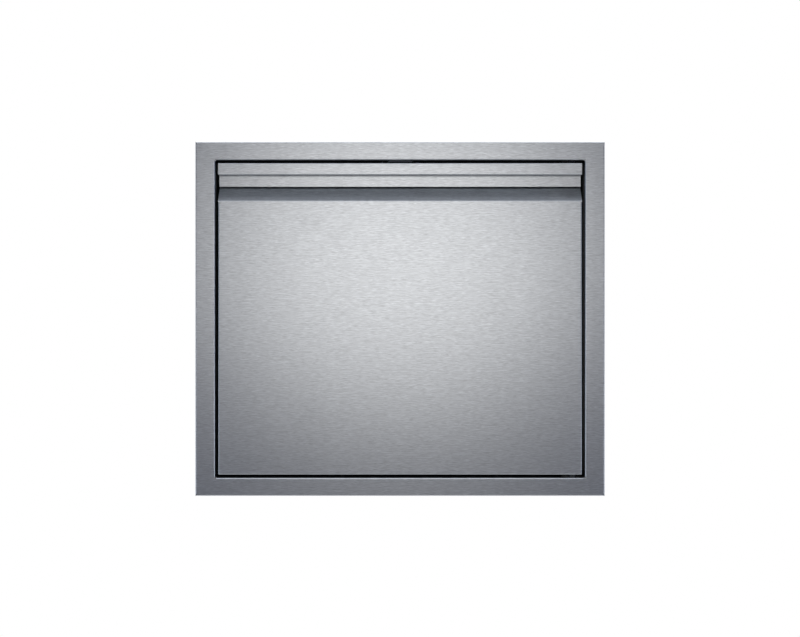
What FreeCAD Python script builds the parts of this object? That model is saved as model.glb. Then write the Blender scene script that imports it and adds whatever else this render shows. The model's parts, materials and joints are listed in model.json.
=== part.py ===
"""Single access door for an outdoor kitchen island, in millimetres.

A folded stainless face frame carries a jamb sleeve, and a hollow door swings in it on two hidden pivots.
X runs to the right, Y into the island and Z up.
The origin is the centre of the opening, on the plane where the face frame seats on the island.
Depths are counted from the front of the face frame, which is also the front of the closed door.
"""
import FreeCAD, Part
import math
import os

from FreeCAD import Vector

# Face frame
FRAME_WIDTH = 609.6
FRAME_HEIGHT = 527.0
STILE_WIDTH = 29.5
RAIL_WIDTH = 27.0
FRAME_STANDOFF = 8.0
SEAT_WIDTH = 12.0
RETURN_DEPTH = 12.0
CORNER_RELIEF_RADIUS = 2.0
CORNER_SEAM_WIDTH = 0.9
CORNER_SEAM_LENGTH = 3.2
CORNER_SEAM_ANGLE = 45.0

# Sheet of the face frame and the door: plain folds, and the crisp folds round the face, grooved first
SHEET = 1.2
INNER_BEND = 0.8
FACE_BEND = 0.3

# Jamb sleeve behind the face frame
FRAME_DEPTH = 89.0
JAMB_SHEET = 1.5
JAMB_REAR_FLANGE = 12.0

# Screw holes into the island, one rectangle of four in each side jamb
ISLAND_HOLE_RADIUS = 2.75
ISLAND_ROW_DEPTH = 58.0
ISLAND_ROW_SPACING = 18.0
ISLAND_HEIGHT_SPACING = 300.0

# Door
DOOR_GAP = 4.5
DOOR_THICKNESS = 25.0
SKIN_REAR_FLANGE = 18.0
LINER_SETBACK = 0.5
LINER_FRONT_FLANGE = 10.0

# Finger pull along the top of the door
LIP_HEIGHT = 17.5
PULL_OPENING = 39.0
PULL_DEPTH = 17.0
RAMP_RISE = 18.4
HEM_LENGTH = 9.0
HEM_GAP = 0.4
PULL_SEAM = 3.0
SKIN_TAB = 12.0
BEND_RELIEF_HEIGHT = 0.5
BEND_RELIEF_WIDTH = 1.9
BEND_RELIEF_DROP = 2.0
END_CLEARANCE = 0.3

# Pressed panel of the liner and the stiffener in front of it
PANEL_INSET = 60.0
PANEL_PRESS = 4.0
PANEL_SLOPE = 6.0
PANEL_TOP_MARGIN = 4.0
STIFFENER_WIDTH = 32.0
STIFFENER_FLANGE = 16.0
STIFFENER_SHEET = 1.0
STIFFENER_END_GAP = 20.0

# Pivots on the right side of the door
PIVOT_INSET = 14.0
PIVOT_DEPTH = 8.0
PIN_RADIUS = 3.0
RUNNING_CLEARANCE = 0.04
PRESS_CLEARANCE = 0.05
THRUST_CLEARANCE = 0.3
PIN_END_GAP = 0.5
BUSH_WALL = 1.5
BUSH_RIM = 1.5
UPPER_RIM_HEIGHT = 1.5
PIVOT_PLATE = 3.0
PIVOT_PLATE_REACH = 16.0
PIVOT_PLATE_TAIL = 28.0
PIVOT_PLATE_DEPTH = 22.0

# Upper pin block behind the lip
PIN_BLOCK_HEIGHT = 4.0
PIN_BLOCK_REACH = 11.0
PIN_BLOCK_TAIL = 32.0
PIN_BLOCK_SCREWS = (13.0, 25.0)
PIN_FOOT_RIM = 1.5
PIN_FOOT_HEIGHT = 1.2
HOLE_CLEARANCE = 0.2

# Lower pin, drawn up by a knob against a spring
PIN_STROKE = 12.0
GUIDE_LENGTH = 10.0
CHAMBER_LENGTH = 31.0
CAP_LENGTH = 6.0
HOUSING_END_WALL = 1.5
SLIDE_CLEARANCE = 0.3
SHOULDER_STEP = 1.6
SHOULDER_HEIGHT = 8.0
STEM_RADIUS = 2.1
STEM_TAIL = 2.0
KNOB_SHANK_RADIUS = 2.0
KNOB_SHANK_BITE = 3.0
KNOB_RADIUS = 6.0
KNOB_LENGTH = 8.0
KNOB_GAP = 1.0
KNOB_GRIP_COUNT = 12
KNOB_GRIP_RADIUS = 0.8
KNOB_ROUNDING = 0.8
SLOT_CLEARANCE = 0.4
SPRING_WIRE_RADIUS = 0.4
SPRING_TURNS = 7
HEAD_TO_RIM_GAP = 0.5

# Fasteners
SCREW_RADIUS = 2.0
SCREW_HEAD_RADIUS = 3.6
SCREW_HEAD_HEIGHT = 1.8
SCREW_TIP = 2.5
SMALL_SCREW_RADIUS = 1.25
SMALL_HEAD_RADIUS = 2.4
SMALL_HEAD_HEIGHT = 0.7
SCREW_CLEARANCE = 0.15
DRIVE_SHARE = 0.45
DRIVE_SIDES = 6
HEAD_ROUNDING_SHARE = 0.35
LINER_SCREW_INSET = 9.0
LINER_SCREW_END = 62.0
LINER_SIDE_SCREWS = 4
LINER_BOTTOM_SCREWS = 3

# Seals on the jamb
SEAL_WIDTH = 8.0
SEAL_OVERLAP = 3.5
SEAL_WALL = 1.4
SEAL_GAP = 0.4
SWEEP_CLEARANCE = 0.8

# Stop brackets and their bumpers on the left jamb
BRACKET_HEIGHT = 30.0
BRACKET_REACH = 25.0
BRACKET_LEG = 18.0
BRACKET_SHEET = 1.5
BRACKET_END_DISTANCE = 46.5
BRACKET_GAP = 0.5
BUMPER_RADIUS = 5.5
BUMPER_GAP = 0.3
BUMPER_ROUNDING = 1.5
BUMPER_INSET = 8.0
BUMPER_STEM_RADIUS = 2.4
BUMPER_BARB_RADIUS = 3.2
BUMPER_BARB_HEIGHT = 2.0
BUMPER_STEM_CLEARANCE = 0.1
RIVET_RADIUS = 1.6
RIVET_HEAD_RADIUS = 3.2
RIVET_HEAD_HEIGHT = 1.2
RIVET_SPACING = 16.0
RIVET_CLEARANCE = 0.1

# Magnetic catch in the middle of the top jamb and its strike on the door
CATCH_WIDTH = 36.0
CATCH_FRONT = 4.0
CATCH_DEPTH = 18.0
CATCH_HEIGHT = 12.0
CATCH_EAR = 12.0
CATCH_EAR_HEIGHT = 2.5
CATCH_EAR_DEPTH = 10.0
CATCH_FIT = 0.3
CATCH_WALL = 3.0
CATCH_ROUNDING = 0.6
MAGNET_DEPTH = 6.0
POLE_SHEET = 2.0
POLE_PROUD = 0.3
MAGNET_RECESS = 0.8
POCKET_CLEARANCE = 0.1
STRIKE_SHEET = 1.0
STRIKE_AIR_GAP = 0.9
STRIKE_WIDTH = 62.0
STRIKE_DEPTH = 10.0
STRIKE_SCREW_INSET = 5.0

# Sizes that follow from the ones above
OUTER_BEND = INNER_BEND + SHEET
FACE_EDGE = FACE_BEND + SHEET
OPENING_HALF_WIDTH = FRAME_WIDTH / 2 - STILE_WIDTH
OPENING_HALF_HEIGHT = FRAME_HEIGHT / 2 - RAIL_WIDTH
JAMB_HALF_WIDTH = OPENING_HALF_WIDTH + SHEET
JAMB_HALF_HEIGHT = OPENING_HALF_HEIGHT + SHEET
JAMB_FRONT = SHEET + INNER_BEND + END_CLEARANCE
JAMB_TOP = JAMB_HALF_HEIGHT + JAMB_SHEET
DOOR_HALF_WIDTH = OPENING_HALF_WIDTH - DOOR_GAP
DOOR_HALF_HEIGHT = OPENING_HALF_HEIGHT - DOOR_GAP
DOOR_BOTTOM = -DOOR_HALF_HEIGHT
LIP_BOTTOM = DOOR_HALF_HEIGHT - LIP_HEIGHT
FACE_TOP = LIP_BOTTOM - PULL_OPENING
PAN_TOP = FACE_TOP - BEND_RELIEF_DROP
PAN_DEPTH = DOOR_THICKNESS - SHEET
RAMP_SLOPE = RAMP_RISE / PULL_DEPTH
WALL_BACK = PULL_DEPTH + SHEET
TAB_DEPTH = PAN_DEPTH - SHEET
RAMP_TOP = FACE_TOP + RAMP_SLOPE * TAB_DEPTH
WALL_BOTTOM = FACE_TOP + RAMP_SLOPE * WALL_BACK + PULL_SEAM
LINER_HALF_WIDTH = DOOR_HALF_WIDTH - LINER_SETBACK
PIVOT_X = DOOR_HALF_WIDTH - PIVOT_INSET
BUSH_RADIUS = PIN_RADIUS + RUNNING_CLEARANCE + BUSH_WALL
BUSH_RIM_RADIUS = BUSH_RADIUS + BUSH_RIM
PIVOT_PLATE_TOP = JAMB_TOP + PIVOT_PLATE
PIN_REACH = PIVOT_PLATE_TOP - PIN_END_GAP
PIN_BLOCK_TOP = DOOR_HALF_HEIGHT - SHEET
PIN_BLOCK_BOTTOM = PIN_BLOCK_TOP - PIN_BLOCK_HEIGHT
SHOULDER_RADIUS = PIN_RADIUS + SHOULDER_STEP
CHAMBER_RADIUS = SHOULDER_RADIUS + SLIDE_CLEARANCE
HOUSING_BOTTOM = DOOR_BOTTOM + SHEET
CHAMBER_BOTTOM = HOUSING_BOTTOM + GUIDE_LENGTH
CHAMBER_TOP = CHAMBER_BOTTOM + CHAMBER_LENGTH
HOUSING_TOP = CHAMBER_TOP + CAP_LENGTH
HOUSING_SCREW_OFFSET = BUSH_RIM_RADIUS + HEAD_TO_RIM_GAP + SMALL_HEAD_RADIUS
HOUSING_HALF_WIDTH = HOUSING_SCREW_OFFSET + SMALL_SCREW_RADIUS + SCREW_CLEARANCE + HOUSING_END_WALL
HOUSING_FRONT = SHEET + END_CLEARANCE
HOUSING_BACK = 2 * PIVOT_DEPTH - HOUSING_FRONT
SHOULDER_BOTTOM = CHAMBER_BOTTOM + SLIDE_CLEARANCE
SHOULDER_TOP = SHOULDER_BOTTOM + SHOULDER_HEIGHT
KNOB_LEVEL = SHOULDER_BOTTOM + SHOULDER_HEIGHT / 2
SLOT_HALF_WIDTH = KNOB_SHANK_RADIUS + SLOT_CLEARANCE
SWEEP_RADIUS = math.hypot(PIVOT_INSET, DOOR_THICKNESS - PIVOT_DEPTH)
SEAL_REACH = SHEET + DOOR_GAP + SEAL_OVERLAP
SEAL_FRONT = DOOR_THICKNESS + SEAL_GAP
HINGE_SEAL_FRONT = PIVOT_DEPTH + SWEEP_RADIUS + SWEEP_CLEARANCE
HINGE_SEAL_LIMIT = PIVOT_X - math.sqrt(SWEEP_RADIUS ** 2 - (SEAL_FRONT - PIVOT_DEPTH) ** 2) - SWEEP_CLEARANCE
BRACKET_FRONT = SEAL_FRONT + SEAL_WIDTH + BRACKET_GAP
BRACKET_LEVEL = OPENING_HALF_HEIGHT - BRACKET_END_DISTANCE
CATCH_BOTTOM = DOOR_HALF_HEIGHT + STRIKE_SHEET + STRIKE_AIR_GAP + POLE_PROUD
CATCH_TOP = JAMB_TOP + CATCH_HEIGHT
CATCH_CENTRE_DEPTH = CATCH_FRONT + CATCH_DEPTH / 2
POCKET_HALF_WIDTH = CATCH_WIDTH / 2 - CATCH_WALL
POCKET_TOP = CATCH_TOP - CATCH_WALL

# Distance under which two points count as one
SAME_POINT = 0.001

UP = Vector(0, 0, 1)
DOWN = Vector(0, 0, -1)
RIGHT = Vector(1, 0, 0)
BACK = Vector(0, 1, 0)


def at_depth(depth):
    """Y of a depth behind the front plane."""
    return depth - FRAME_STANDOFF


def block(x, depth, z):
    """Box between two limits of x, depth and z."""
    low = Vector(min(x), at_depth(min(depth)), min(z))
    return Part.makeBox(abs(x[1] - x[0]), abs(depth[1] - depth[0]), abs(z[1] - z[0]), low)


def centred_block(half_width, depth, half_height):
    return block((-half_width, half_width), depth, (-half_height, half_height))


def rod(radius, x, depth, z, direction, length):
    """Cylinder from a point along a direction."""
    return Part.makeCylinder(radius, length, Vector(x, at_depth(depth), z), direction)


def pivot_rod(radius, z, direction, length):
    """Cylinder on the pivot axis of the door."""
    return rod(radius, PIVOT_X, PIVOT_DEPTH, z, direction, length)


def same(a, b):
    return abs(a - b) < SAME_POINT


def joined(shapes):
    return shapes[0].multiFuse(shapes[1:]).removeSplitter()


def mirrored(shape, normal):
    return shape.mirror(Vector(0, 0, 0), normal)


def edges_at(shape, test):
    """Straight edges whose ends both pass a test."""
    straight = [edge for edge in shape.Edges if isinstance(edge.Curve, Part.Line)]
    return [edge for edge in straight if all(test(vertex.Point) for vertex in edge.Vertexes)]


def edges_along(shape, direction):
    """Straight edges that run along a direction."""
    straight = [edge for edge in shape.Edges if isinstance(edge.Curve, Part.Line)]
    return [edge for edge in straight if edge.Curve.Direction.cross(direction).Length < SAME_POINT]


def prism(points, start, run):
    """Flat outline of (depth, z) points at one x, drawn out along x. Repeated points count once."""
    corners = []
    for depth, z in points:
        corner = Vector(start, at_depth(depth), z)
        if not corners or (corner - corners[-1]).Length > SAME_POINT:
            corners.append(corner)
    outline = Part.Face(Part.makePolygon(corners + corners[:1]))
    return outline.extrude(RIGHT * run)


def folded_sheet(points, bends, sheet, to_space, run):
    """Folded sheet drawn out along a run.

    The points lie on one side of the sheet, which lies to the right of the way along them.
    Each bend is an inside radius, for the points between the first and the last.
    """
    flat = [Vector(a, b, 0) for a, b in points]
    ways = [(end - start).normalize() for start, end in zip(flat, flat[1:])]
    rights = [Vector(way.y, -way.x, 0) for way in ways]
    near = [(flat[0], None, flat[0])]
    far_start = flat[0] + rights[0] * sheet
    far = [(far_start, None, far_start)]
    for index, bend in enumerate(bends):
        corner = flat[index + 1]
        before, after = ways[index], ways[index + 1]
        turn = before.getAngle(after)
        to_right = before.x * after.y - before.y * after.x < 0
        near_radius = bend + sheet if to_right else bend
        far_radius = bend if to_right else bend + sheet
        cut_back = near_radius * math.tan(turn / 2)
        first = corner - before * cut_back
        last = corner + after * cut_back
        centre = first + rights[index] * (near_radius if to_right else -near_radius)
        outward = (corner - centre).normalize()
        near.append((first, centre + outward * near_radius, last))
        far_first = first + rights[index] * sheet
        far_last = last + rights[index + 1] * sheet
        far.append((far_first, centre + outward * far_radius, far_last))
    near.append((flat[-1], None, flat[-1]))
    far_end = flat[-1] + rights[-1] * sheet
    far.append((far_end, None, far_end))
    way_back = [(last, middle, first) for first, middle, last in reversed(far)]
    edges = []
    stations = near + way_back
    for station, following in zip(stations, stations[1:] + stations[:1]):
        first, middle, last = station
        if middle is not None:
            spots = [to_space(spot.x, spot.y) for spot in (first, middle, last)]
            edges.append(Part.Arc(*spots).toShape())
        if (following[0] - last).Length > SAME_POINT:
            edges.append(Part.makeLine(to_space(last.x, last.y), to_space(following[0].x, following[0].y)))
    return Part.Face(Part.Wire(edges)).extrude(run)


def across(start):
    """Places (depth, z) points in the plane of one x."""
    return lambda depth, z: Vector(start, at_depth(depth), z)


def upright(start):
    """Places (depth, x) points in the plane of one z."""
    return lambda depth, x: Vector(x, at_depth(depth), start)


def wide_sheet(points, bends, sheet, half_width):
    """Folded sheet of (depth, z) points, drawn out evenly to the left and right."""
    return folded_sheet(points, bends, sheet, across(-half_width), RIGHT * 2 * half_width)


def fastener(point, inward, radius, length, head_radius, head_height, driven=True):
    """Screw or rivet with its head seated at a point, running inward from there."""
    head = Part.makeCylinder(head_radius, head_height, point, inward * -1)
    rim = [edge for edge in head.Edges if (edge.CenterOfMass - point).Length > head_height / 2
           and isinstance(edge.Curve, Part.Circle)]
    head = head.makeFillet(head_height * HEAD_ROUNDING_SHARE, rim)
    body = head.fuse(Part.makeCylinder(radius, length, point, inward)).removeSplitter()
    if not driven:
        return body
    side = inward.cross(RIGHT if abs(inward.x) < DRIVE_SHARE else UP).normalize()
    other = inward.cross(side)
    top = point - inward * head_height
    reach = head_radius * DRIVE_SHARE
    angles = [2 * math.pi * step / DRIVE_SIDES for step in range(DRIVE_SIDES)]
    corners = [top + side * reach * math.cos(angle) + other * reach * math.sin(angle) for angle in angles]
    socket = Part.Face(Part.makePolygon(corners + corners[:1])).extrude(inward * head_height / 2)
    return body.cut(socket)


def small_screw(x, depth, z, inward, length):
    """Small screw with its head seated at a point."""
    point = Vector(x, at_depth(depth), z)
    return fastener(point, inward, SMALL_SCREW_RADIUS, length, SMALL_HEAD_RADIUS, SMALL_HEAD_HEIGHT)


def small_hole(x, depth, z, length):
    """Clearance hole for a small screw, upward from a point."""
    return rod(SMALL_SCREW_RADIUS + SCREW_CLEARANCE, x, depth, z, UP, length)


def spread(first, last, count):
    """Evenly spaced places from the first to the last."""
    return [first + (last - first) * step / (count - 1) for step in range(count)]


def catch_cutout():
    """Way for the catch through the top return and the top jamb."""
    half_width = CATCH_WIDTH / 2 + CATCH_FIT
    depth = (CATCH_FRONT - CATCH_FIT, CATCH_FRONT + CATCH_DEPTH + CATCH_FIT)
    return block((-half_width, half_width), depth, (CATCH_BOTTOM, CATCH_TOP))


def bush_cutouts():
    """Ways for both bushes through the returns, the jambs and the pivot plates."""
    reach = PIVOT_PLATE_TOP + PIVOT_PLATE
    radius = BUSH_RADIUS + PRESS_CLEARANCE
    return pivot_rod(radius, -reach, UP, 2 * reach)


def face_frame():
    """Flange folded back at its outer edge onto the island and at its inner edge into the opening."""
    half_width = FRAME_WIDTH / 2
    half_height = FRAME_HEIGHT / 2
    front = at_depth(0)
    shell = centred_block(half_width, (0, FRAME_STANDOFF), half_height)
    shell = shell.makeFillet(FACE_EDGE, edges_at(shell, lambda p: same(p.y, front)))
    hollow = centred_block(half_width - SHEET, (SHEET, FRAME_STANDOFF - SHEET), half_height - SHEET)
    behind = at_depth(SHEET)
    hollow = hollow.makeFillet(FACE_BEND, edges_at(hollow, lambda p: same(p.y, behind)))
    behind_bend = (SHEET + INNER_BEND, FRAME_DEPTH)
    window = centred_block(half_width - SEAT_WIDTH, behind_bend, half_height - SEAT_WIDTH)
    opening = centred_block(OPENING_HALF_WIDTH, (-SHEET, FRAME_DEPTH), OPENING_HALF_HEIGHT)
    flange = shell.cut(hollow).cut(window).cut(opening)
    sleeve = centred_block(JAMB_HALF_WIDTH, (0, RETURN_DEPTH), JAMB_HALF_HEIGHT).cut(opening)
    frame = joined([flange, sleeve])

    def inner_edge(p):
        inside = abs(p.x) < half_width - SEAT_WIDTH and abs(p.z) < half_height - SEAT_WIDTH
        return inside and same(p.y, front)

    frame = frame.makeFillet(OUTER_BEND, edges_at(frame, inner_edge))
    for x_side in (-1, 1):
        for z_side in (-1, 1):
            frame = frame.cut(corner_relief(x_side, z_side)).cut(corner_seam(x_side, z_side))
    return frame.cut(catch_cutout()).cut(bush_cutouts())


def corner_relief(x_side, z_side):
    """Round relief where two inner folds of the face frame meet."""
    x = x_side * OPENING_HALF_WIDTH
    z = z_side * OPENING_HALF_HEIGHT
    return rod(CORNER_RELIEF_RADIUS, x, -SHEET, z, BACK, SHEET + 2 * OUTER_BEND)


def corner_seam(x_side, z_side):
    """Open seam where two outer folds of the face frame meet."""
    length = 2 * CORNER_SEAM_LENGTH
    seam = Part.makeBox(length, 2 * OUTER_BEND, CORNER_SEAM_WIDTH,
                        Vector(-length / 2, at_depth(-OUTER_BEND), -CORNER_SEAM_WIDTH / 2))
    seam.rotate(Vector(0, 0, 0), BACK, -CORNER_SEAM_ANGLE * x_side * z_side)
    seam.translate(Vector(x_side * FRAME_WIDTH / 2, 0, z_side * FRAME_HEIGHT / 2))
    return seam


def jamb_top():
    """Top panel of the sleeve, folded down at its rear edge."""
    half_width = JAMB_HALF_WIDTH + JAMB_SHEET
    points = [(JAMB_FRONT, JAMB_TOP), (FRAME_DEPTH, JAMB_TOP), (FRAME_DEPTH, JAMB_TOP - JAMB_REAR_FLANGE)]
    return wide_sheet(points, [INNER_BEND], JAMB_SHEET, half_width)


def upper_jamb():
    panel = jamb_top().cut(catch_cutout()).cut(bush_cutouts())
    for x, depth in catch_screw_places():
        panel = panel.cut(small_hole(x, depth, CATCH_BOTTOM, CATCH_HEIGHT))
    return panel


def lower_jamb():
    return mirrored(jamb_top(), UP).cut(bush_cutouts())


def side_jamb():
    """Right-hand panel of the sleeve, with the holes for its island screws."""
    outer = JAMB_HALF_WIDTH + JAMB_SHEET
    points = [(JAMB_FRONT, outer), (FRAME_DEPTH, outer), (FRAME_DEPTH, outer - JAMB_REAR_FLANGE)]
    start = -JAMB_HALF_HEIGHT
    panel = folded_sheet(points, [INNER_BEND], JAMB_SHEET, upright(start), UP * 2 * JAMB_HALF_HEIGHT)
    corner = JAMB_TOP - JAMB_REAR_FLANGE
    rear = (FRAME_DEPTH - JAMB_SHEET - INNER_BEND, FRAME_DEPTH)
    for z_side in (-1, 1):
        panel = panel.cut(block((0, 2 * outer), rear, (z_side * corner, z_side * 2 * JAMB_TOP)))
        z = z_side * ISLAND_HEIGHT_SPACING / 2
        for row in range(2):
            depth = ISLAND_ROW_DEPTH + row * ISLAND_ROW_SPACING
            panel = panel.cut(rod(ISLAND_HOLE_RADIUS, 0, depth, z, RIGHT, 2 * outer))
    return panel


def left_jamb():
    panel = mirrored(side_jamb(), RIGHT)
    for z_side in (-1, 1):
        for z in rivet_levels(z_side):
            panel = panel.cut(rivet_hole(z))
    return panel


def pivot_plate(z_side):
    """Doubler welded on the outside of the jamb, round the bush."""
    x = (PIVOT_X - PIVOT_PLATE_TAIL, PIVOT_X + PIVOT_PLATE_REACH)
    plate = block(x, (JAMB_FRONT, JAMB_FRONT + PIVOT_PLATE_DEPTH), (JAMB_TOP, PIVOT_PLATE_TOP))
    if z_side < 0:
        plate = mirrored(plate, UP)
    return plate.cut(bush_cutouts())


def bush(z_side, rim_height):
    """Flanged bush pressed through return, jamb and pivot plate, its rim inside the opening."""
    start = z_side * OPENING_HALF_HEIGHT
    outward = UP * z_side
    length = PIVOT_PLATE_TOP - OPENING_HALF_HEIGHT
    sleeve = pivot_rod(BUSH_RADIUS, start, outward, length)
    rim = pivot_rod(BUSH_RIM_RADIUS, start, outward * -1, rim_height)
    reach = 2 * PIVOT_PLATE_TOP
    bore = pivot_rod(PIN_RADIUS + RUNNING_CLEARANCE, -reach, UP, 2 * reach)
    return joined([sleeve, rim]).cut(bore)


def seal_strip(front, base, inward, run):
    """Hollow bulb seal on the jamb, from its base inward, drawn out along a run."""
    def outline(inset):
        radius = SEAL_WIDTH / 2 - inset
        shoulder = SEAL_REACH - SEAL_WIDTH / 2
        middle = front + SEAL_WIDTH / 2
        spots = [(middle - radius, inset), (middle - radius, shoulder), (middle, shoulder + radius),
                 (middle + radius, shoulder), (middle + radius, inset)]
        spots = [base + BACK * at_depth(depth) + inward * reach for depth, reach in spots]
        edges = [Part.makeLine(spots[0], spots[1]), Part.Arc(*spots[1:4]).toShape(),
                 Part.makeLine(spots[3], spots[4]), Part.makeLine(spots[4], spots[0])]
        return Part.Face(Part.Wire(edges))
    section = outline(0).cut(outline(SEAL_WALL)).Faces[0]
    return section.extrude(run)


def level_seal(z_side, front, start, end):
    base = Vector(start, 0, z_side * JAMB_HALF_HEIGHT)
    return seal_strip(front, base, UP * -z_side, RIGHT * (end - start))


def side_seal(x_side, front):
    half_height = JAMB_HALF_HEIGHT - SEAL_REACH
    base = Vector(x_side * JAMB_HALF_WIDTH, 0, -half_height)
    return seal_strip(front, base, RIGHT * -x_side, UP * 2 * half_height)


def hinge_seal():
    """Seal on the hinge side, set back behind the sweep of the door's rear edge."""
    pieces = [side_seal(1, HINGE_SEAL_FRONT)]
    for z_side in (-1, 1):
        pieces.append(level_seal(z_side, HINGE_SEAL_FRONT, HINGE_SEAL_LIMIT, JAMB_HALF_WIDTH))
    return Part.makeCompound(pieces)


def rivet_levels(z_side):
    middle = z_side * BRACKET_LEVEL
    return [middle - RIVET_SPACING / 2, middle + RIVET_SPACING / 2]


def rivet_depth():
    return BRACKET_FRONT + BRACKET_SHEET + BRACKET_LEG / 2


def rivet_hole(z):
    reach = JAMB_HALF_WIDTH - BRACKET_REACH / 2
    return rod(RIVET_RADIUS + RIVET_CLEARANCE, -reach, rivet_depth(), z, RIGHT * -1, BRACKET_REACH)


def bumper_x():
    return -JAMB_HALF_WIDTH + BRACKET_REACH - BUMPER_INSET


def stop_bracket(z_side):
    """Angle riveted to the left jamb, one leg behind the door."""
    middle = z_side * BRACKET_LEVEL
    inner_end = -JAMB_HALF_WIDTH + BRACKET_REACH
    rear_end = BRACKET_FRONT + BRACKET_SHEET + BRACKET_LEG
    points = [(rear_end, -JAMB_HALF_WIDTH), (BRACKET_FRONT, -JAMB_HALF_WIDTH), (BRACKET_FRONT, inner_end)]
    place = upright(middle - BRACKET_HEIGHT / 2)
    bracket = folded_sheet(points, [INNER_BEND], BRACKET_SHEET, place, UP * BRACKET_HEIGHT)
    for z in rivet_levels(z_side):
        bracket = bracket.cut(rivet_hole(z))
    hole_radius = BUMPER_STEM_RADIUS + BUMPER_STEM_CLEARANCE
    return bracket.cut(rod(hole_radius, bumper_x(), BRACKET_FRONT - SHEET, middle, BACK, BRACKET_LEG))


def bumper(z_side):
    """Push-in bumper that the closed door comes to rest on."""
    middle = z_side * BRACKET_LEVEL
    front = DOOR_THICKNESS + BUMPER_GAP
    button = rod(BUMPER_RADIUS, bumper_x(), front, middle, BACK, BRACKET_FRONT - front)
    lead = at_depth(front)
    rim = [edge for edge in button.Edges if isinstance(edge.Curve, Part.Circle)
           and same(edge.CenterOfMass.y, lead)]
    button = button.makeFillet(BUMPER_ROUNDING, rim)
    stem = rod(BUMPER_STEM_RADIUS, bumper_x(), BRACKET_FRONT, middle, BACK, BRACKET_SHEET)
    bracket_back = BRACKET_FRONT + BRACKET_SHEET
    barb = rod(BUMPER_BARB_RADIUS, bumper_x(), bracket_back, middle, BACK, BUMPER_BARB_HEIGHT)
    return joined([button, stem, barb])


def rivet(point, inward, length):
    return fastener(point, inward, RIVET_RADIUS, length, RIVET_HEAD_RADIUS, RIVET_HEAD_HEIGHT, driven=False)


def bracket_rivets():
    rivets = []
    seat = -JAMB_HALF_WIDTH + BRACKET_SHEET
    length = BRACKET_SHEET + JAMB_SHEET
    for z_side in (-1, 1):
        for z in rivet_levels(z_side):
            point = Vector(seat, at_depth(rivet_depth()), z)
            head = rivet(point, RIGHT * -1, length)
            tail = rivet(point - RIGHT * length, RIGHT, length)
            rivets.append(joined([head, tail]))
    return Part.makeCompound(rivets)


def catch_screw_places():
    x = CATCH_WIDTH / 2 + CATCH_EAR / 2
    depth = max(CATCH_CENTRE_DEPTH, RETURN_DEPTH + SMALL_SCREW_RADIUS + SCREW_CLEARANCE + END_CLEARANCE)
    return [(-x, depth), (x, depth)]


def catch_case():
    """Moulded case hung through the top jamb on two ears, open below for the magnet."""
    half_width = CATCH_WIDTH / 2
    depth = (CATCH_FRONT, CATCH_FRONT + CATCH_DEPTH)
    body = block((-half_width, half_width), depth, (CATCH_BOTTOM, CATCH_TOP))
    body = body.makeFillet(CATCH_ROUNDING, edges_at(body, lambda p: p.z > JAMB_TOP))
    ear_middle = catch_screw_places()[0][1]
    ear_depth = (ear_middle - CATCH_EAR_DEPTH / 2, ear_middle + CATCH_EAR_DEPTH / 2)
    reach = half_width + CATCH_EAR
    ears = block((-reach, reach), ear_depth, (JAMB_TOP, JAMB_TOP + CATCH_EAR_HEIGHT))
    pocket_depth = MAGNET_DEPTH / 2 + POLE_SHEET + POCKET_CLEARANCE
    pocket = block((-POCKET_HALF_WIDTH, POCKET_HALF_WIDTH),
                   (CATCH_CENTRE_DEPTH - pocket_depth, CATCH_CENTRE_DEPTH + pocket_depth),
                   (CATCH_BOTTOM - SHEET, POCKET_TOP))
    case = joined([body, ears]).cut(pocket)
    for x, screw_depth in catch_screw_places():
        case = case.cut(small_hole(x, screw_depth, CATCH_BOTTOM, CATCH_HEIGHT))
    return case


def catch_magnet():
    half_width = POCKET_HALF_WIDTH - POCKET_CLEARANCE
    depth = (CATCH_CENTRE_DEPTH - MAGNET_DEPTH / 2, CATCH_CENTRE_DEPTH + MAGNET_DEPTH / 2)
    return block((-half_width, half_width), depth, (CATCH_BOTTOM + MAGNET_RECESS, POCKET_TOP))


def catch_poles():
    """Two steel plates that carry the magnet's pull down to the strike."""
    half_width = POCKET_HALF_WIDTH - POCKET_CLEARANCE
    z = (CATCH_BOTTOM - POLE_PROUD, POCKET_TOP)
    plates = []
    for side in (-1, 1):
        inner = CATCH_CENTRE_DEPTH + side * MAGNET_DEPTH / 2
        plates.append(block((-half_width, half_width), (inner, inner + side * POLE_SHEET), z))
    return Part.makeCompound(plates)


def catch_screws():
    seat = JAMB_TOP + CATCH_EAR_HEIGHT
    length = seat - JAMB_HALF_HEIGHT + END_CLEARANCE
    screws = [small_screw(x, depth, seat, DOWN, length) for x, depth in catch_screw_places()]
    return Part.makeCompound(screws)


def knob_slot():
    """Slot for the knob's shank, long enough for its stroke."""
    levels = (KNOB_LEVEL, KNOB_LEVEL + PIN_STROKE)
    ends = [rod(SLOT_HALF_WIDTH, PIVOT_X, PIVOT_DEPTH, z, BACK, DOOR_THICKNESS) for z in levels]
    x = (PIVOT_X - SLOT_HALF_WIDTH, PIVOT_X + SLOT_HALF_WIDTH)
    middle = block(x, (PIVOT_DEPTH, PIVOT_DEPTH + DOOR_THICKNESS), levels)
    return joined(ends + [middle])


def liner_screw_places():
    """(x, z) of the screws along the sides and the bottom of the liner."""
    side = DOOR_HALF_WIDTH - LINER_SCREW_INSET
    places = []
    for z in spread(DOOR_BOTTOM + LINER_SCREW_END, PAN_TOP - LINER_SCREW_END / 2, LINER_SIDE_SCREWS):
        places += [(-side, z), (side, z)]
    reach = DOOR_HALF_WIDTH - 2 * LINER_SCREW_END
    for x in spread(-reach, reach, LINER_BOTTOM_SCREWS):
        places.append((x, DOOR_BOTTOM + LINER_SCREW_INSET))
    return places


def liner_screw_holes():
    radius = SCREW_RADIUS + SCREW_CLEARANCE
    holes = [rod(radius, x, TAB_DEPTH - SHEET, z, BACK, DOOR_THICKNESS) for x, z in liner_screw_places()]
    return Part.makeCompound(holes)


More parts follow.
